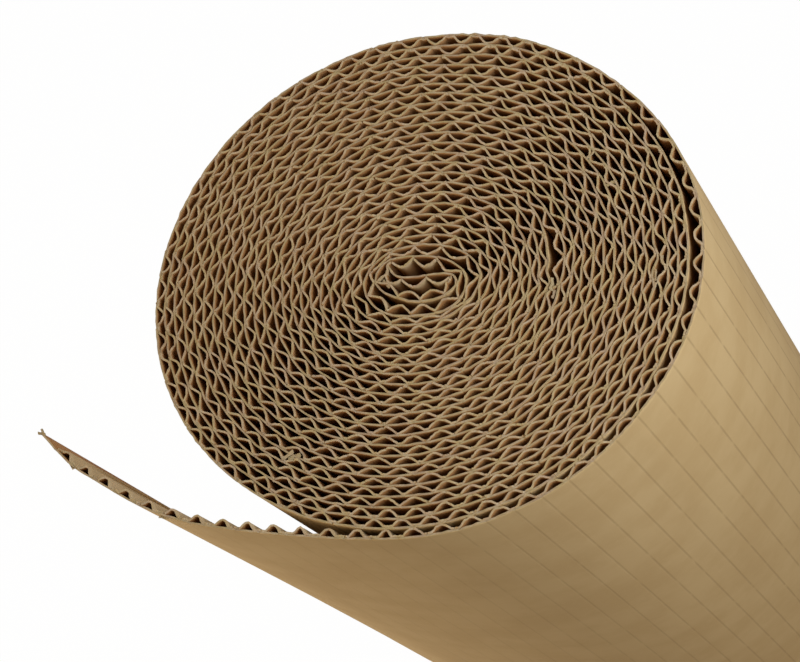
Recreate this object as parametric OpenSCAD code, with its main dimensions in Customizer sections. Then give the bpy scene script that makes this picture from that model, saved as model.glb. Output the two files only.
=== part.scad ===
// Roll of single-faced corrugated board, standing on one end.
// A flat liner paper is the outer face. A fluted paper is glued to its inner
// face, and both are wound together, with no tube or core inside. The roll is
// a little oval, its outermost turn stands off on one side, and the end of the
// board leaves the roll as a loose tail.

/* [Roll] */
// Width of the board, which is the height of the standing roll
roll_h = 500; // [100:10:1200]
// Number of turns
turns = 23.7; // [10:0.1:30]
// Width across the hollow that the innermost end leaves
core_w = 18.4; // [14:0.1:30]
// Depth across that hollow
core_d = 7.6; // [7:0.1:14]
// How far the hollow lies off the roll's middle along X
core_dx = 1.5; // [-3:0.1:3]
// How far the hollow lies off the roll's middle along Y
core_dy = -3.1; // [-4:0.1:4]

/* [Board] */
// Thickness of the liner
liner_t = 0.4; // [0.2:0.05:0.6]
// Thickness of the fluted paper
flute_t = 0.35; // [0.2:0.05:0.5]
// Height of the flutes over all
flute_h = 1.9; // [1.2:0.05:4]
// Distance from one glued crest to the next
flute_pitch = 6.7; // [5:0.1:9]
// Film of glue between a crest and the liner
glue_t = 0.03; // [0.02:0.01:0.1]
// Least play between one turn and the next
turn_gap = 0.03; // [0.02:0.01:0.5]
// How much higher each stretch of the board stands than the one wound outside it
telescope = 0.1; // [0.05:0.05:1]

/* [Loose outer turn] */
// How far the outermost turn stands off the turn beneath
lift = 1.2; // [0:0.1:4]
// Direction in which it stands off the most
lift_dir = 0; // [-30:5:30]
// Angle over which it comes back to the roll on either side
lift_spread = 50; // [30:5:80]

/* [Tail] */
// Direction in which the tail leaves the roll, seen from its middle
tail_dir = 269; // [240:1:300]
// Length of the nearly flat stretch beside the roll
tail_flat_len = 54; // [30:1:90]
// Bend over that stretch
tail_flat_bend = 15; // [5:1:25]
// Length of the curled stretch at the end
tail_curl_len = 51; // [20:1:80]
// Bend over the curled stretch
tail_curl_bend = 30; // [10:1:60]

/* [Hidden] */

liner_colour = [0.76, 0.65, 0.47];
fluting_colour = [0.66, 0.53, 0.35];

// Stations lie half a flute apart: a glued crest, then a free one, and so on
station_gap = flute_pitch / 2;
// Thickness of the fluted paper measured through its slope
flute_slope = atan((flute_h - flute_t) / station_gap);
web_t = flute_t / cos(flute_slope);
// Depth of a glued and of a free crest, from the middle of the liner
glued_depth = liner_t / 2 + glue_t + web_t / 2;
free_depth = liner_t / 2 + glue_t + flute_h - web_t / 2;
// Share of the local radius that a flute may fill where the board is folded
fold_fill = 0.75;
// Turns whose half flutes span more than this many degrees get a liner crease at every station
fine_step = 8;

// The middle of each turn lies this far off the middle of the one around it
drift = [core_dx, core_dy] / turns;
// Each turn is this much smaller all round, so that the play is left where the drift closes it
turn_step = liner_t + glue_t + flute_h + turn_gap + norm(drift);
// The winding angle runs inwards from 0, where the tail leaves the roll
wind_end = 360 * turns;
lift_mid = 360 - tail_dir + lift_dir;

// Raised cosine: 1 at the middle and 0 at half a span to either side
function bump(x, half_span) = abs(x) < half_span ? pow(cos(90 * x / half_span), 2) : 0;

// Half width and half depth of the spiral, and its middle, at a winding angle
function half_x(p) = core_w / 2 + turn_step * (turns - p / 360) + lift * bump(p - lift_mid, lift_spread);
function half_y(p) = core_d / 2 + turn_step * (turns - p / 360) + lift * bump(p - lift_mid, lift_spread);
function middle(p) = drift * p / 360;
function spiral(p) = middle(p) + [half_x(p) * cos(tail_dir + p), half_y(p) * sin(tail_dir + p)];

// Direction of travel inwards, and how fast the path runs with the angle
function heading(p) = let (d = spiral(p + 0.5) - spiral(p - 0.5)) atan2(d.y, d.x);
function mm_per_degree(p) = norm([half_x(p) * sin(tail_dir + p), half_y(p) * cos(tail_dir + p)]) * PI / 180;
function bend_radius(p) = pow(mm_per_degree(p) * 180 / PI, 3) / (half_x(p) * half_y(p));

// Distance to the next turn, square to the path: it is less on the oval's shoulders
function spacing(p) = let (
    out = [sin(heading(p)), -cos(heading(p))],
    a = half_x(p) * out.x,
    b = half_y(p) * out.y
) turn_step * (a * out.x + b * out.y) / norm([a, b]) - drift * out;

// Depth of a free crest, which is pressed flatter where the turns lie close or are folded tightly
function pressed_depth(p) = max(glued_depth + web_t, min(free_depth, fold_fill * bend_radius(p),
    spacing(p) - liner_t / 2 - turn_gap - web_t / 2));

// A station is [x, y, heading, depth of a free crest, degrees to the next station]
function wound(p) = [spiral(p).x, spiral(p).y, heading(p), pressed_depth(p), station_gap / mm_per_degree(p)];
wound_stations = [for (p = 0; p < wind_end; p = p + station_gap / mm_per_degree(p)) wound(p)];

// Point at a distance along an arc that starts at a point and bends clockwise
function along_arc(start, direction, bend, length) = let (
    chord = length * sin(bend / 2) / (bend / 2 * PI / 180)
) start + chord * [cos(direction - bend / 2), sin(direction - bend / 2)];

// The tail, measured outwards from where it leaves the roll
tail_len = tail_flat_len + tail_curl_len;
tail_root = spiral(0);
tail_root_dir = heading(0) + 180;
tail_knee = along_arc(tail_root, tail_root_dir, tail_flat_bend, tail_flat_len);
function tail_bend(s) = s <= tail_flat_len
    ? tail_flat_bend * s / tail_flat_len
    : tail_flat_bend + tail_curl_bend * (s - tail_flat_len) / tail_curl_len;
function tail_point(s) = s <= tail_flat_len
    ? along_arc(tail_root, tail_root_dir, tail_bend(s), s)
    : along_arc(tail_knee, tail_root_dir - tail_flat_bend, tail_bend(s) - tail_flat_bend, s - tail_flat_len);
function loose(s) = [tail_point(s).x, tail_point(s).y, tail_root_dir - 180 - tail_bend(s), free_depth, 0];
tail_count = floor((tail_len - station_gap / 2) / station_gap);
tail_stations = [for (i = [tail_count : -1 : 1]) loose(i * station_gap)];

// All stations from the free end to the hollow: glued crests at even places
stations = concat(tail_stations, wound_stations);
last = len(stations) - 1;
wave = [for (i = [0 : last]) i % 2 == 0 ? glued_depth : stations[i][3]];

// The board is wound in stretches, each a whole number of flutes long
stretch_count = 8;
stretch_len = 2 * ceil(last / (2 * stretch_count));
function stretch(k) = [k * stretch_len : min((k + 1) * stretch_len, last)];

// Point at a depth inwards from a station, and the outline of a web between two depths
function inwards(s, depth) = [s[0] - depth * sin(s[2]), s[1] + depth * cos(s[2])];
function web(path, outer, inner) = concat(
    [for (i = [0 : len(path) - 1]) inwards(path[i], outer[i])],
    [for (i = [len(path) - 1 : -1 : 0]) inwards(path[i], inner[i])]
);

// Outlines of the two papers over one stretch
function creased(i) = i % 2 == 0 || i == last || stations[i][4] > fine_step;
function liner_path(k) = concat(k == 0 ? [loose(tail_len)] : [], [for (i = stretch(k)) if (creased(i)) stations[i]]);
function liner_outline(k) = let (path = liner_path(k)) web(path,
    [for (s = path) -liner_t / 2],
    [for (s = path) liner_t / 2]);
function fluting_outline(k) = web([for (i = stretch(k)) stations[i]],
    [for (i = stretch(k)) wave[i] - web_t / 2],
    [for (i = stretch(k)) wave[i] + web_t / 2]);

// The origin is the middle of the box round the foot
outline = [for (k = [0 : stretch_count - 1]) each liner_outline(k)];
xs = [for (q = outline) q.x];
ys = [for (q = outline) q.y];
foot_middle = [min(xs) + max(xs), min(ys) + max(ys)] / 2;

// One stretch of paper, as tall as the board is wide
module paper(k, points) {
    translate([-foot_middle.x, -foot_middle.y, k * telescope])
        linear_extrude(height = roll_h)
            polygon(points);
}

module liner() {
    color(liner_colour)
        for (k = [0 : stretch_count - 1])
            paper(k, liner_outline(k));
}

module fluting() {
    color(fluting_colour)
        for (k = [0 : stretch_count - 1])
            paper(k, fluting_outline(k));
}

liner();
fluting();
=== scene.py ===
import math
import bmesh
import bpy
import numpy as np
from mathutils import Matrix, Vector


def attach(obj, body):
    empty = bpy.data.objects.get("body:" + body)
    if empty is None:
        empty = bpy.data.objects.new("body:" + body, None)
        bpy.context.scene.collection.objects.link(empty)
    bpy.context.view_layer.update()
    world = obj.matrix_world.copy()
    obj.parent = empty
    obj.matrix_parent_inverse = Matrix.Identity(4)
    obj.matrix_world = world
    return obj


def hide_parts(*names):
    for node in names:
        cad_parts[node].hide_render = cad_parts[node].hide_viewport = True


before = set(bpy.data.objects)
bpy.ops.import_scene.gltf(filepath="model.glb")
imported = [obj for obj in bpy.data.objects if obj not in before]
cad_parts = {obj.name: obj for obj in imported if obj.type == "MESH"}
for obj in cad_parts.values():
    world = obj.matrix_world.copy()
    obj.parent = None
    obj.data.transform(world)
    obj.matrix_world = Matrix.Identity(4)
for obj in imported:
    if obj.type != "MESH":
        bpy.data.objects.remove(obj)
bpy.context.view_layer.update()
scene = bpy.context.scene
mm = 0.001
dice = np.random.default_rng(11)

roll = {                          # lengths in mm, directions in degrees seen from above
    "height": 500.0,              # width of the board
    "turns": 23.7,
    "step": 2.5053,               # from one turn to the next
    "hollow": (18.4, 7.6),        # what the innermost end leaves free
    "drift": (1.5, -2.6),         # how far the hollow lies off the middle
    "leaves": 269.0,              # where the tail leaves the roll
    "lift": 1.2,                  # the outermost turn stands off this much on the right
    "liftSpread": 50.0,
    "middle": (14.376, 0.66),     # the roll's middle in the frame
    "climb": 0.7,                 # the hollow's end of the board stands higher
    "handWound": 880.0,           # degrees at the inner end that follow the slumped hollow
    "join": 120,                  # places on the path over which the spiral passes into it
    "gap": 0.25,                  # from one place on the path to the next, in mm, or degrees on the spiral
    "rows": (0.0, 0.5, 0.9975, 1.0),  # where the sheets have vertices, as shares of the height
}

slumped = (                       # the liner round the hollow, going inwards
    (29.8, 1.9), (26.3, 5.1), (21.5, 7.0), (15.7, 7.7), (9.8, 7.0), (5.0, 4.7), (2.6, 1.8), (2.1, -0.8),
    (2.7, -3.4), (4.3, -6.0), (7.2, -8.2), (10.5, -9.5), (14.5, -10.1), (18.5, -10.0), (22.2, -9.4),
    (25.3, -8.0), (27.2, -5.8), (27.9, -2.9), (27.2, -0.2), (25.2, 2.1), (22.3, 3.8), (19.0, 4.7),
    (15.0, 5.1), (11.2, 5.1), (8.3, 4.6), (6.4, 3.3), (5.3, 1.5), (5.1, -0.5), (6.2, -2.4), (8.3, -4.0),
    (11.0, -5.3), (14.0, -6.3), (17.5, -6.6), (21.0, -6.1), (23.7, -5.1), (25.2, -3.8), (25.6, -2.3),
    (24.9, -0.8), (23.0, 0.0), (20.0, 0.2), (16.5, 0.0), (13.5, 0.0), (11.2, 0.5), (9.6, 1.6), (8.6, 3.2),
)

slits = (                         # places where a turn has come away from the next one inwards
    {"turn": 14, "at": 2.0, "spread": 22.0, "open": 1.7, "reach": 2.0},
    {"turn": 4, "at": -7.0, "spread": 15.0, "open": 0.6, "reach": 1.0},
)

dents = (                         # places where the turns have been knocked about
    {"at": (73.0, -7.0), "size": (3.2, 9.0), "by": 0.62, "every": 8.0},
    {"at": (47.5, -6.0), "size": (3.0, 5.0), "by": 0.5, "every": 6.0},
    {"at": (30.0, 40.0), "size": (12.0, 9.0), "by": 0.35, "every": 10.0},
    {"at": (-18.0, 12.0), "size": (9.0, 12.0), "by": 0.35, "every": 9.0},
)

tail = {
    "flat": 54.0,                 # the nearly flat stretch beside the roll
    "curl": 51.0,                 # the curled end
    "bend": (22.0, 9.0),          # how far each of them bends
    "fullBend": 250.0,            # reached this far below the rim
}

tailLength = tail["flat"] + tail["curl"]
tailRim = (                       # the liner at the tail's rim, from its torn end to the roll
    (-83.0, -27.4), (-81.6, -28.6), (-80.0, -30.2), (-78.0, -32.4), (-75.5, -34.9), (-72.0, -37.9),
    (-66.5, -41.5), (-62.0, -44.4), (-57.0, -47.4), (-52.0, -50.0), (-47.0, -52.0), (-40.0, -54.3),
    (-33.0, -56.0), (-27.0, -57.3), (-20.0, -58.6), (-13.0, -59.7), (-6.0, -60.7), (2.0, -61.7),
)


def swell(x, halfSpan):           # 1 in the middle of a span and 0 at its ends
    return np.where(np.abs(x) < halfSpan, np.cos(np.pi / 2 * np.clip(x / halfSpan, -1, 1)) ** 2, 0.0)


def spiral(wind):                 # the liner's middle at a winding angle, which runs inwards from the tail
    left = roll["step"] * (roll["turns"] - wind / 360)
    left = left + roll["lift"] * swell(wind - (360 - roll["leaves"]), roll["liftSpread"])
    share = wind / 360 / roll["turns"]
    direction = roll["leaves"] + wind
    for slit in slits:
        edge = 360 * slit["turn"] + slit["at"] - roll["leaves"] + 180
        off = (direction - slit["at"] + 180) % 360 - 180
        gone = (wind - edge) / 360
        left = left - np.sign(gone) * slit["open"] / 2 * swell(off, slit["spread"]) * np.exp(
            -np.maximum(np.abs(gone) - 0.5, 0) / slit["reach"])
    turn = np.radians(direction)
    x = roll["drift"][0] * share + (roll["hollow"][0] / 2 + left) * np.cos(turn)
    y = roll["drift"][1] * share + (roll["hollow"][1] / 2 + left) * np.sin(turn)
    return x + roll["middle"][0], y + roll["middle"][1]


curveSteps = 24                   # from one given point to the next


def smoothCurve(points):          # a curve through all the points
    p = np.array(points)
    p = np.vstack([2 * p[0] - p[1], p, 2 * p[-1] - p[-2]])
    t = np.linspace(0, 1, curveSteps, endpoint=False)[:, None]
    pieces = []
    for a, b, c, d in zip(p, p[1:], p[2:], p[3:]):
        pieces.append(0.5 * (2 * b + (c - a) * t + (2 * a - 5 * b + 4 * c - d) * t ** 2
                             + (3 * b - a - 3 * c + d) * t ** 3))
    return np.vstack(pieces + [p[-2:-1]])


def windBoard(atRim):             # the whole path of the board: along, x, y, heading
    gap, join = roll["gap"], roll["join"]
    wind = np.arange(0, 360 * roll["turns"] - roll["handWound"], gap)
    x, y = spiral(wind)
    joined = [(x[number], y[number]) for number in (-join, -join * 2 // 3, -join // 3, -1)]
    inner = smoothCurve(joined + list(slumped))
    x = np.concatenate([x[:-join], inner[:, 0]])
    y = np.concatenate([y[:-join], inner[:, 1]])
    first = math.atan2(y[2] - y[0], x[2] - x[0])
    out = np.arange(0, tailLength + 0.1, gap)
    bend = np.interp(out, (0, tail["flat"], out[-1]), (0, tail["bend"][0], sum(tail["bend"])))
    away = first - np.radians(bend)
    looseX = x[0] - np.concatenate([[0], np.cumsum(np.cos(away[1:]) * gap)])
    looseY = y[0] - np.concatenate([[0], np.cumsum(np.sin(away[1:]) * gap)])
    looseX, looseY = looseX[::-1], looseY[::-1]
    if atRim:
        # two places on the roll guide the curve, and the piece between them is left out
        looseX, looseY = smoothCurve(tailRim + ((x[0], y[0]), (x[40], y[40])))[:-curveSteps].T
    step = np.hypot(np.diff(looseX), np.diff(looseY))
    loose = np.concatenate([[0], np.cumsum(step)]) * tailLength / step.sum()
    run = tailLength + np.concatenate([[0], np.cumsum(np.hypot(np.diff(x), np.diff(y)))])
    x, y = np.concatenate([looseX, x[1:]]), np.concatenate([looseY, y[1:]])
    run = np.concatenate([loose, run[1:]])
    along = np.arange(0, run[-1], gap)
    x, y = np.interp(along, run, x), np.interp(along, run, y)
    heading = np.unwrap(np.arctan2(np.gradient(y), np.gradient(x)))
    heading = np.convolve(np.pad(heading, 4, "edge"), np.ones(9) / 9, "valid")
    return along, x, y, heading


rimPath = windBoard(True)
footPath = windBoard(False)
boardLength = min(rimPath[0][-1], footPath[0][-1])
print("path of the board:", round(boardLength), "mm")


room = {                          # how the space between turns is measured, in mm
    "clear": 9.0,                 # said where there is no next turn
    "skip": 6,                    # the nearest stretch of the board isn't the next turn
    "longestTurn": 470,
    "least": 0.3,
    "aside": 0.8,                 # how far sideways a place may lie
    "innerTurn": 160,             # nothing lies inside this last stretch
}


def findRoom(path):               # how far each place is from the next turn inwards, and outwards
    along, x, y, heading = [part[::4] for part in path]
    clear, skip = room["clear"], room["skip"]
    inner, outer = np.full(len(along), clear), np.zeros(len(along))
    normalX, normalY = -np.sin(heading), np.cos(heading)
    for number in range(int(tailLength), len(along) - skip - 1):
        reach = slice(number + skip, number + room["longestTurn"])
        dx, dy = x[reach] - x[number], y[reach] - y[number]
        inward = dx * normalX[number] + dy * normalY[number]
        aside = np.abs(-dx * normalY[number] + dy * normalX[number])
        faces = (inward > room["least"]) & (inward < clear) & (aside < room["aside"])
        near = np.where(faces, inward, clear)
        if near.min() < clear:
            inner[number] = near.min()
            hit = number + skip + near.argmin()
            outer[hit - 1:hit + 2] = np.maximum(outer[hit - 1:hit + 2], near.min())
    outer[int(boardLength) - room["innerTurn"]:] = clear
    return along, inner, outer


roomAlong, roomInside, roomOutside = findRoom(rimPath)
uneven = {                        # each wave's length and size
    "waves": (
        (55, 0.17), (38, 0.13), (27, 0.1), (21, 0.09), (17, 0.08), (14, 0.07), (12, 0.06), (9, 0.04)),
    "sag": 0.024,                 # how far the board sags between flutes
    "along": (tailLength - 30, tailLength + 30, tailLength + 430, tailLength + 700),
    "share": (0.2, 0.25, 0.3, 1),  # the tail and the outer turns are smoother than the rest
}
waves = [(dice.uniform(0, 2 * np.pi, 3), length, size) for length, size in uneven["waves"]]


def settle(x, y):                 # the turns lie a little unevenly, neighbours alike
    dx, dy = np.zeros_like(x), np.zeros_like(y)
    for (way, phaseX, phaseY), length, size in waves:
        run = (x * np.cos(way) + y * np.sin(way)) * 2 * np.pi / length
        dx += size * np.sin(run + phaseX)
        dy += size * np.sin(run + phaseY)
    for dent in dents:
        offX = (x - dent["at"][0]) / dent["size"][0]
        offY = (y - dent["at"][1]) / dent["size"][1]
        ripple = np.sin(2 * np.pi * (y - 0.6 * x) / dent["every"])
        dx += dent["by"] * np.exp(-(offX ** 2 + offY ** 2)) * ripple
    return dx, dy


sagAt = np.arange(0, boardLength + 5, 0.8)
sagBy = np.convolve(dice.normal(0, 1, len(sagAt)), np.hanning(9), "same") * uneven["sag"]


def place(along, depth, height):  # depth runs inwards from the middle of the liner
    low = np.minimum((roll["height"] - height) / tail["fullBend"], 1)
    share = np.interp(along, uneven["along"], uneven["share"])
    spots = []
    for path in (rimPath, footPath):
        heading = np.interp(along, path[0], path[3])
        sunk = depth + np.interp(along, sagAt, sagBy) * share
        x = np.interp(along, path[0], path[1]) - sunk * np.sin(heading)
        y = np.interp(along, path[0], path[2]) + sunk * np.cos(heading)
        shiftX, shiftY = settle(x, y)
        spots.append((x + share * shiftX, y + share * shiftY))
    x = spots[0][0] * (1 - low) + spots[1][0] * low
    y = spots[0][1] * (1 - low) + spots[1][1] * low
    return x, y


cut = {                           # how the paper's cut and torn edges differ from straight ones
    "ragged": 0.12,
    "sway": 0.05,
    "torn": 0.5,                  # the torn end of the board hangs down by about this much
    "tornMost": 0.9,
    "tornOver": 2.5,              # length of the torn end
}


def rollStrip(along, depth, phase, openness, sheet):
    # a flat strip of paper is made as a grid and wound, and gets its thickness later
    rows = np.array(roll["rows"]) * roll["height"]
    strip = bmesh.new()
    mark = strip.verts.layers.float_vector.new("board")
    air = strip.verts.layers.float.new("open")
    columns = len(along)
    bmesh.ops.create_grid(strip, x_segments=columns - 1, y_segments=len(rows) - 1, size=0.5)
    lift = np.interp(along, (0, boardLength), (0, roll["climb"]))
    xs, ys, zs, heights = [], [], [], []
    for number, row in enumerate(rows):
        z = np.full(columns, row)
        rim = number == len(rows) - 1
        if rim:
            z = z + dice.normal(0, cut["ragged"], columns)
            torn = np.minimum(np.abs(dice.normal(0, cut["torn"], columns)), cut["tornMost"])
            z = z - torn * (along < along[0] + cut["tornOver"])
        sway = dice.normal(0, cut["sway"], columns) if rim else 0.0
        x, y = place(along, depth + sway - sheet["thickness"] / 2, np.clip(z, 0, roll["height"]))
        xs.append(x)
        ys.append(y)
        zs.append(z + lift)
        heights.append(z)
    for vert in strip.verts:      # the grid's own places say which column and row a vertex is
        column = round((vert.co.x + 0.5) * (columns - 1))
        row = round((vert.co.y + 0.5) * (len(rows) - 1))
        vert.co = Vector((xs[row][column], ys[row][column], zs[row][column])) * mm
        vert[mark] = Vector((along[column], heights[row][column], phase[column]))
        vert[air] = openness[column]
    strip.normal_update()
    return strip, mark


def addFlakes(strip, mark, spots):  # small crumpled flakes of torn paper on the rim
    for x, y, z, size, turn in spots:
        flake = bmesh.ops.create_grid(strip, x_segments=4, y_segments=2, size=0.5)["verts"]
        for vert in flake:
            crumple = Vector(dice.uniform(-0.1, 0.1, 3))
            vert.co = Vector((vert.co.x * 1.7, vert.co.y * 0.5, 0.5 * vert.co.x ** 2)) + crumple
        tilt = Matrix.Rotation(turn, 3, "Z") @ Matrix.Rotation(dice.uniform(-0.6, 0.6), 3, "X")
        bmesh.ops.rotate(strip, verts=flake, cent=(0, 0, 0), matrix=tilt)
        middle = Vector((x, y, z)) * mm
        for vert in flake:
            vert.co = vert.co * size * mm + middle
            vert[mark] = Vector((x * 3, z + 0.3, y * 3))
        faces = list({face for vert in flake for face in vert.link_faces})
        made = bmesh.ops.solidify(strip, geom=faces, thickness=0.16 * mm)["geom"]
        # a sharp crumple can throw a corner far out, so every corner is kept within the flake's size
        for vert in flake + [part for part in made if isinstance(part, bmesh.types.BMVert)]:
            off = vert.co - middle
            vert.co = middle + off * min(1, 0.9 * size * mm / max(off.length, 1e-6))


def finishStrip(strip, mark, name, sheet, materials, flakes=()):
    # materials: the outward side, the inward side and the cut edges
    bmesh.ops.solidify(strip, geom=strip.faces[:], thickness=sheet["thickness"] * mm)
    strip.normal_update()
    for face in strip.faces:
        spread = [vert[mark].x for vert in face.verts]
        where = sum(spread) / len(spread)
        cut = abs(face.normal.z) > 0.7 or max(spread) - min(spread) < 1e-5
        heading = np.interp(where, rimPath[0], rimPath[3])
        outside = face.normal.x * math.sin(heading) - face.normal.y * math.cos(heading) > 0
        face.material_index = 2 if cut else (0 if outside else 1)
        face.smooth = not cut
    known = len(strip.faces)
    addFlakes(strip, mark, flakes)
    strip.faces.ensure_lookup_table()
    for face in strip.faces[known:]:
        face.material_index = 2
    mesh = bpy.data.meshes.new(name)
    strip.to_mesh(mesh)
    strip.free()
    for material in materials:
        mesh.materials.append(material)
    piece = bpy.data.objects.new(name, mesh)
    scene.collection.objects.link(piece)
    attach(piece, "root")
    return piece


class Wire:                       # a value in a material, used as an ordinary number
    def __init__(self, finish, socket):
        self.finish, self.socket = finish, socket

    def maths(self, operation, *values):  # an operation on this value and perhaps another
        inputs = dict(enumerate((self,) + values))
        return self.finish.add("ShaderNodeMath", {"operation": operation}, inputs)

    def flipped(self, operation, value):  # the same with the other value first
        return self.finish.add("ShaderNodeMath", {"operation": operation}, {0: value, 1: self})

    def __add__(self, other): return self.maths("ADD", other)
    def __radd__(self, other): return self.flipped("ADD", other)
    def __sub__(self, other): return self.maths("SUBTRACT", other)
    def __rsub__(self, other): return self.flipped("SUBTRACT", other)
    def __mul__(self, other): return self.maths("MULTIPLY", other)
    def __rmul__(self, other): return self.flipped("MULTIPLY", other)


class Finish:                     # the nodes of a material or of the world
    def __init__(self, owner):
        self.owner = owner
        owner.use_nodes = True
        self.tree = owner.node_tree

    def add(self, kind, settings, inputs, output=0):
        node = self.tree.nodes.new(kind)
        for key, value in settings.items():
            setattr(node, key, value)
        for key, value in inputs.items():
            self.plug(node.inputs[key], value)
        return Wire(self, node.outputs[output])

    def wires(self, node):        # every output of a node
        return [Wire(self, output) for output in self.tree.nodes[node].outputs]

    def shader(self, inputs):     # the material's own shader
        for key, value in inputs.items():
            self.plug(self.tree.nodes["Principled BSDF"].inputs[key], value)

    def plug(self, socket, value):
        if isinstance(value, Wire):
            self.tree.links.new(value.socket, socket)
        else:
            socket.default_value = value

    def noise(self, vector, scale, detail=2.0, roughness=0.5):
        return self.add("ShaderNodeTexNoise", {}, {
            "Vector": vector, "Scale": scale, "Detail": detail, "Roughness": roughness})

    def mixColour(self, factor, first, second):
        return self.add("ShaderNodeMix", {"data_type": "RGBA"}, {0: factor, 6: first, 7: second}, 2)

    def ramp(self, value, low, high):
        smooth = {"interpolation_type": "SMOOTHSTEP"}
        return self.add("ShaderNodeMapRange", smooth, {0: value, 1: low, 2: high})

    def relief(self, height, strength, distance):
        return self.add("ShaderNodeBump", {}, {
            "Strength": strength, "Distance": distance, "Height": height})


def tone(colour, red, green, blue):  # a colour with its parts made weaker or stronger
    return (colour[0] * red, colour[1] * green, colour[2] * blue, 1)


paintedShade = {                          # painted shade: between the turns, below the rim, the paper's colour is darkened where the shade falls
    "colour": (0.33, 0.155, 0.05, 1),
    "strength": 0.84,
    "depth": 0.36,                # how far below the rim, in mm
    "blend": 60,                  # along the board
}
glue = {                          # the lines where the fluted paper is glued on
    "apart": 6.7,
    "width": (0.42, 0.06),        # where a line fades out and where it is full, from its middle
    "strength": 0.42,
    "relief": 1.2,
    "broken": (0.25, 0.5),
    "awayFromTail": (tailLength - 30, tailLength + 140),  # they are fainter near the tail
    "facetShade": 0.22,                # painted shade: how much darker, at random, each flat stretch between them is painted, standing in for the light falling differently on each facet
}


def kraft(name, paper, dark, pale, lines, start, airy):
    # start: where along the board the painted shade begins; airy: how far down the painted shade moves
    # where turns stand apart
    finish = Finish(bpy.data.materials.new(name))
    board = finish.add("ShaderNodeAttribute", {"attribute_name": "board"}, {}, 1)
    along = finish.add("ShaderNodeSeparateXYZ", {}, {0: board})
    height, phase = finish.wires(along.socket.node.name)[1:]
    sheet = finish.add("ShaderNodeCombineXYZ", {}, {0: along, 1: height})
    stretched = finish.add("ShaderNodeCombineXYZ", {}, {0: along * 0.35, 1: height * 1.6})
    cloudy = finish.noise(sheet, 0.045, 3.0, 0.6)
    fibre = finish.noise(stretched, 1.1, 4.0, 0.65)
    fine = finish.noise(sheet, 3.0, 3.0, 0.7)
    colour = finish.mixColour(finish.ramp(cloudy, 0.35, 0.65), paper, dark)
    colour = finish.mixColour(finish.ramp(fibre, 0.5, 0.75) * 0.35, colour, pale)
    colour = finish.mixColour(finish.ramp(fine, 0.55, 0.8) * 0.3, colour, dark)
    bump = fibre * 0.6 + fine * 0.4
    if lines:
        fold = (phase + 0.5).maths("FRACT") - 0.5
        off = fold.maths("ABSOLUTE") * glue["apart"]
        number = phase.maths("ROUND")
        dashes = finish.add("ShaderNodeCombineXYZ", {}, {0: number * 7.3, 1: height * 0.13})
        broken = finish.ramp(finish.noise(dashes, 1.0, 2.0), *glue["broken"])
        awayFromTail = finish.ramp(along, *glue["awayFromTail"])
        line = finish.ramp(off, *glue["width"]) * broken * (0.3 + awayFromTail * 0.7)
        oneWay = {"noise_dimensions": "1D"}
        # painted shade: each flat stretch of the liner between two glue lines is darkened by a random
        # amount
        facetShade = finish.add("ShaderNodeTexWhiteNoise", oneWay, {"W": phase.maths("FLOOR")})
        colour = finish.mixColour(facetShade * glue["facetShade"], colour, dark)
        colour = finish.mixColour(line * glue["strength"], colour, tone(dark, 0.45, 0.4, 0.35))
        bump = bump - line * glue["relief"]
    air = finish.add("ShaderNodeAttribute", {"attribute_name": "open"}, {}, 2)
    # painted shade: below the rim, and from start on along the board, the colour is mixed towards a dark
    # brown that stands in for the shade between the turns
    below = finish.ramp(height, roll["height"] + 0.1, roll["height"] - paintedShade["depth"] - air * airy)
    inside = finish.ramp(along, start, start + paintedShade["blend"])
    colour = finish.mixColour(below * inside * paintedShade["strength"], colour, paintedShade["colour"])
    finish.shader({
        "Base Color": colour, "Roughness": 0.82, "Specular IOR Level": 0.25,
        "Normal": finish.relief(bump, 0.35, 0.0002)})
    return finish.owner


def cutEdge(name, paper, pale):
    finish = Finish(bpy.data.materials.new(name))
    board = finish.add("ShaderNodeAttribute", {"attribute_name": "board"}, {}, 1)
    patch = finish.noise(board, 0.5, 2.0)
    grit = finish.noise(board, 5.0, 2.0, 0.7)
    colour = finish.mixColour(finish.ramp(patch, 0.35, 0.65), paper, pale)
    colour = finish.mixColour(finish.ramp(grit, 0.5, 0.75) * 0.4, colour, tone(paper, 0.6, 0.55, 0.5))
    tint = finish.noise(board, 0.23, 2.0)
    colour = finish.mixColour(finish.ramp(tint, 0.4, 0.65) * 0.5, colour, tone(paper, 1, 1.06, 0.72))
    colour = finish.mixColour(finish.ramp(tint, 0.5, 0.3) * 0.4, colour, tone(paper, 0.9, 0.8, 0.95))
    finish.shader({
        "Base Color": colour, "Roughness": 0.95, "Specular IOR Level": 0.1,
        "Normal": finish.relief(grit, 0.5, 0.0001)})
    return finish.owner


flutes = {
    "pitch": 6.8,
    "pitchSpread": 0.014,         # share by which flutes differ
    "glued": 0.43,                # depth of a glued crest, from the middle of the liner
    "top": 2.14,                  # depth of a free crest that nothing presses
    "hollowTop": (130.0, 2.45),   # the crests by the hollow, over this length, stand higher
    "tailTops": ((0, 30, tailLength), (1.65, 1.85, 2.0)),  # the crests along the tail
    "press": (0.46, 0.8),         # a crest keeps this far off the next turn, but is never flatter than this
    "uneven": (0.01, 0.025),      # share by which crests are pressed unevenly
    "lean": 0.08,
    # the tail, the outer turns, the roll and the hollow have crests of different widths and roundness
    "stretches": (tailLength - 8, tailLength + 820, boardLength - 190),
    "half": ((0.19, 0.22), (0.3, 0.34), (0.36, 0.44), (0.47, 0.5)),
    "round": (2.4, 1.9, 1.5, 1.7),
    "steps": (0, .05, .11, .18, .26, .34, .42, .5, .58, .66, .74, .82, .89, .95),
    "thickness": 0.47,
    "airy": (2.9, 0.9),           # the gap from which light gets in, and how much wider until it fully does
}
liner = {
    "thickness": 0.43,
    "steps": (-0.07, 0, 0.07, 0.3, 0.5, 0.7),  # shares of a flute, close together at the glue
    "bareStep": 1.1,
}

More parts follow.
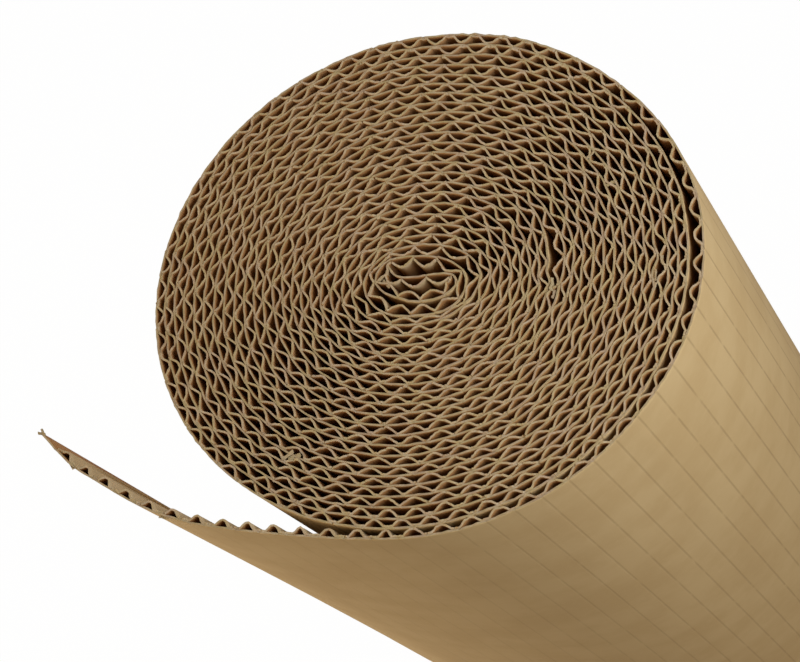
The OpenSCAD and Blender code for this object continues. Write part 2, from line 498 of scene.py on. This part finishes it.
gluedSpots = (                    # glued crests whose places are known, in three stretches of the board
    (0, tailLength, (
        (-78.2, -32.0), (-72.8, -37.2), (-67.6, -41.0), (-62.0, -44.4), (-55.7, -48.0), (-49.4, -51.0),
        (-43.0, -53.3), (-36.5, -55.2), (-30.1, -56.7), (-23.6, -57.9), (-17.0, -59.0), (-10.0, -60.0))),
    (150, 500, ((80.9, -16.1), (82.4, -9.4), (83.0, -2.4), (82.6, 4.6), (81.7, 11.0), (79.5, 17.9))),
    (boardLength - 260, boardLength, (
        (7.4, -8.4), (13.8, -10.0), (20.3, -9.8), (21.2, 4.0), (15.3, 5.1), (9.2, 4.8),
        (10.2, -5.0), (16.6, -6.5), (23.0, -5.4), (24.4, -0.5), (18.2, 0.1), (12.0, 0.3))),
)


def nearest(spot, low, high):     # how far along the board a place is
    off = np.hypot(rimPath[1] - spot[0], rimPath[2] - spot[1])
    off[(rimPath[0] < low) | (rimPath[0] > high)] = np.inf
    return rimPath[0][off.argmin()]


# the known glued crests stay where they are, and the others share the lengths between them
anchors = [boardLength - 0.4]     # the innermost flute ends just short of the liner
for low, high, spots in gluedSpots:
    anchors += [nearest(spot, low, high) for spot in spots]
anchors = sorted(anchors)
starts = [anchors[0]]
for low, high in zip(anchors, anchors[1:]):
    number = max(1, round((high - low) / flutes["pitch"]))
    widths = 1 + flutes["pitchSpread"] * np.clip(dice.normal(0, 1, number), -2, 2)
    starts += list(low + (high - low) * np.cumsum(widths) / widths.sum())
starts = np.array(starts)
count = len(starts) - 1
along, phase, shape, pressed = [], [], [], []
steps = np.array(flutes["steps"])
for number in range(count):
    stretch = sum(starts[number] > edge for edge in flutes["stretches"])
    half = dice.uniform(*flutes["half"][stretch])
    lean = flutes["lean"] * float(np.clip(dice.normal(), -1.8, 1.8))
    skewed = steps + lean * np.sin(2 * np.pi * steps) / (2 * np.pi)
    along.append(starts[number] + (starts[number + 1] - starts[number]) * skewed)
    phase.append(number + skewed)
    shape.append(np.clip(1 - np.abs((steps - 0.5) / half) ** flutes["round"][stretch], 0, 1))
    share, most = flutes["uneven"]
    pressed.append(np.full(len(steps), 1 - min(share * abs(dice.normal()), most)))
along, phase, shape, pressed = [np.concatenate(part) for part in (along, phase, shape, pressed)]
nextTurn = np.interp(along, roomAlong, roomInside)
hollowLength, hollowTop = flutes["hollowTop"]
highest = np.where(along > boardLength - hollowLength, hollowTop, flutes["top"])
highest = np.where(along < tailLength, np.interp(along, *flutes["tailTops"]), highest)
clearance, flattest = flutes["press"]
top = np.maximum(np.minimum(highest, nextTurn - clearance) * pressed, flattest)
depth = flutes["glued"] + (top - flutes["glued"]) * shape
print("flutes:", count)

papers = {                        # each paper's colour, its darker patches and its pale fibres
    "liner": ((0.545, 0.405, 0.215, 1), (0.50, 0.36, 0.182, 1), (0.60, 0.46, 0.26, 1)),
    "fluting": ((0.48, 0.375, 0.235, 1), (0.42, 0.32, 0.185, 1), (0.55, 0.43, 0.28, 1)),
    # painted shade: the walls inside the glued channels, the same papers in a darker copy
    "channel": ((0.40, 0.27, 0.135, 1), (0.34, 0.22, 0.105, 1), (0.48, 0.34, 0.18, 1)),
    "linerEdge": ((0.335, 0.26, 0.17, 1), (0.425, 0.345, 0.24, 1)),
    "flutingEdge": ((0.385, 0.295, 0.193, 1), (0.48, 0.39, 0.278, 1)),
}
linerPaper = kraft("linerKraft", *papers["liner"], True, tailLength + 455, 3.0)
flutedPaper = kraft("flutingKraft", *papers["fluting"], False, tailLength - 10, 3.0)
# painted shade: the channel walls also get the painted shade below the rim along the whole board
shadedChannelPaper = kraft("shadedChannelKraft", *papers["channel"], False, -60.0, 0.0)
linerEdge = cutEdge("linerCutEdge", *papers["linerEdge"])
flutedEdge = cutEdge("flutingCutEdge", *papers["flutingEdge"])


def lightness(gap):               # 1 where light gets in between two turns, 0 where they touch
    return np.clip((gap - flutes["airy"][0]) / flutes["airy"][1], 0, 1)


strip, mark = rollStrip(along, depth, phase, lightness(nextTurn), flutes)
flutedSheet = finishStrip(strip, mark, "flutedSheet", flutes, [shadedChannelPaper, flutedPaper, flutedEdge])
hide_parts("fluting")
print("fluted paper wound:", len(flutedSheet.data.polygons), "faces")

linerPhase = np.add.outer(np.arange(count + 1), liner["steps"]).ravel()
linerPhase = linerPhase[(linerPhase > 0) & (linerPhase < count)]
linerAlong = np.interp(linerPhase, np.arange(count + 1), starts)
bare = np.arange(0, starts[0], liner["bareStep"])  # the liner is torn longer than the fluted paper
linerPhase = np.concatenate([(bare - starts[0]) / flutes["pitch"], linerPhase, [count]])
linerAlong = np.concatenate([bare, linerAlong, [boardLength - 0.05]])
linerGap = np.interp(linerAlong, roomAlong, roomOutside)
strip, mark = rollStrip(linerAlong, np.zeros(len(linerAlong)), linerPhase, lightness(linerGap), liner)
flakes = (                        # x, y, z, size and turn of each flake
    (48.2, -6.6, 500.5, 1.9, 1.5), (48.6, -9.0, 500.5, 1.2, 1.2), (63.0, 16.5, 500.3, 1.5, 0.4),
    (74.0, -4.0, 500.1, 1.3, 1.7), (72.2, -7.4, 500.1, 1.6, 1.5), (71.9, -10.0, 500.0, 1.2, 1.1),
    (-73.5, -36.9, 499.8, 1.3, 2.2), (-48.3, -52.0, 499.6, 1.5, 2.9), (-82.3, -27.8, 499.8, 1.3, 2.9),
    (-82.2, -27.3, 499.5, 1.1, 2.0), (8.0, -0.9, 500.3, 1.5, 2.3), (-16.5, -40.3, 500.4, 1.9, 0.5),
    (-14.8, -40.9, 500.4, 1.9, 0.2), (58.1, 24.3, 500.2, 1.5, 0.6), (42.0, -20.0, 500.2, 1.0, 2.0),
)
linerSheet = finishStrip(strip, mark, "linerSheet", liner, [linerPaper, shadedChannelPaper, linerEdge], flakes)
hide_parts("liner")
print("liner wound:", len(linerSheet.data.polygons), "faces")

# a plain white floor that keeps the shadow, and a white surround
stage = {
    "size": 8.0,
    "grey": 0.85,
    "glow": 0.985,                # how much of the white that the camera sees is the floor's own
    "ambient": 0.325,
    "ambientColour": (1.0, 0.8, 0.54, 1),
}
ground = bmesh.new()
bmesh.ops.create_grid(ground, x_segments=1, y_segments=1, size=stage["size"] / 2)
floorMesh = bpy.data.meshes.new("floor")
ground.to_mesh(floorMesh)
ground.free()
floor = bpy.data.objects.new("floor", floorMesh)
scene.collection.objects.link(floor)
white = Finish(bpy.data.materials.new("whiteFloor"))
white.shader({"Base Color": (stage["grey"], stage["grey"], stage["grey"], 1), "Roughness": 0.9})
seenByCamera = white.add("ShaderNodeLightPath", {}, {})
seenInGloss = white.tree.nodes["Light Path"].outputs["Is Glossy Ray"]
seen = seenByCamera.maths("MAXIMUM", Wire(white, seenInGloss))
glow = white.add("ShaderNodeEmission", {}, {"Color": (1, 1, 1, 1), "Strength": 1.0})
matt = white.wires("Principled BSDF")[0]
mixed = white.add("ShaderNodeMixShader", {}, {0: seen * stage["glow"], 1: matt, 2: glow})
white.plug(white.tree.nodes["Material Output"].inputs["Surface"], mixed)
floorMesh.materials.append(white.owner)

studio = Finish(bpy.data.worlds.new("studio"))
scene.world = studio.owner
warm = {"Color": stage["ambientColour"], "Strength": stage["ambient"]}
ambient = studio.add("ShaderNodeBackground", {}, warm)
surround = studio.add("ShaderNodeBackground", {}, {"Strength": 1.0})
seenByCamera = studio.add("ShaderNodeLightPath", {}, {})
seenThrough = studio.tree.nodes["Light Path"].outputs["Is Transmission Ray"]
seen = seenByCamera.maths("MAXIMUM", Wire(studio, seenThrough))
mixed = studio.add("ShaderNodeMixShader", {}, {0: seen, 1: ambient, 2: surround})
studio.plug(studio.tree.nodes["World Output"].inputs["Surface"], mixed)


def softbox(name, direction, elevation, distance, size, power, colour):
    lamp = bpy.data.lights.new(name, "AREA")
    lamp.shape, lamp.size, lamp.energy, lamp.color = "DISK", size, power, colour
    holder = bpy.data.objects.new(name, lamp)
    scene.collection.objects.link(holder)
    aim = Vector((0.014, 0, 0.48))  # the middle of the rolled end
    turn, rise = math.radians(direction), math.radians(elevation)
    toLamp = Vector((math.cos(rise) * math.cos(turn), math.cos(rise) * math.sin(turn), math.sin(rise)))
    holder.location = aim + toLamp * distance
    holder.rotation_euler = toLamp.to_track_quat("Z", "Y").to_euler()


softbox("key", -13, 32, 0.38, 0.24, 1.02, (0.96, 1, 1.03))
softbox("leftFill", -174, 18, 0.9, 0.5, 5.9, (1, 0.84, 0.64))
softbox("farFill", 112, 45, 0.7, 0.4, 0.85, (0.96, 1, 0.98))

shot = {                          # the camera's place, its axes and its lens
    "place": (175.22, -184.74, 942.87),
    "right": (0.93770, 0.0, -0.34743),
    "up": (0.11876, 0.93977, 0.32052),
    "lens": 97.245,
}
lens = bpy.data.cameras.new("camera")
lens.lens, lens.sensor_width, lens.sensor_fit = shot["lens"], 36.0, "HORIZONTAL"
lens.clip_start, lens.clip_end = 0.01, 20.0
camera = bpy.data.objects.new("camera", lens)
scene.collection.objects.link(camera)
right = Vector(shot["right"]).normalized()
behind = right.cross(Vector(shot["up"])).normalized()
axes = Matrix((right, behind.cross(right), behind)).transposed().to_4x4()
camera.matrix_world = Matrix.Translation(Vector(shot["place"]) * mm) @ axes
scene.camera = camera
scene.view_settings.view_transform = "Standard"

bpy.context.view_layer.update()
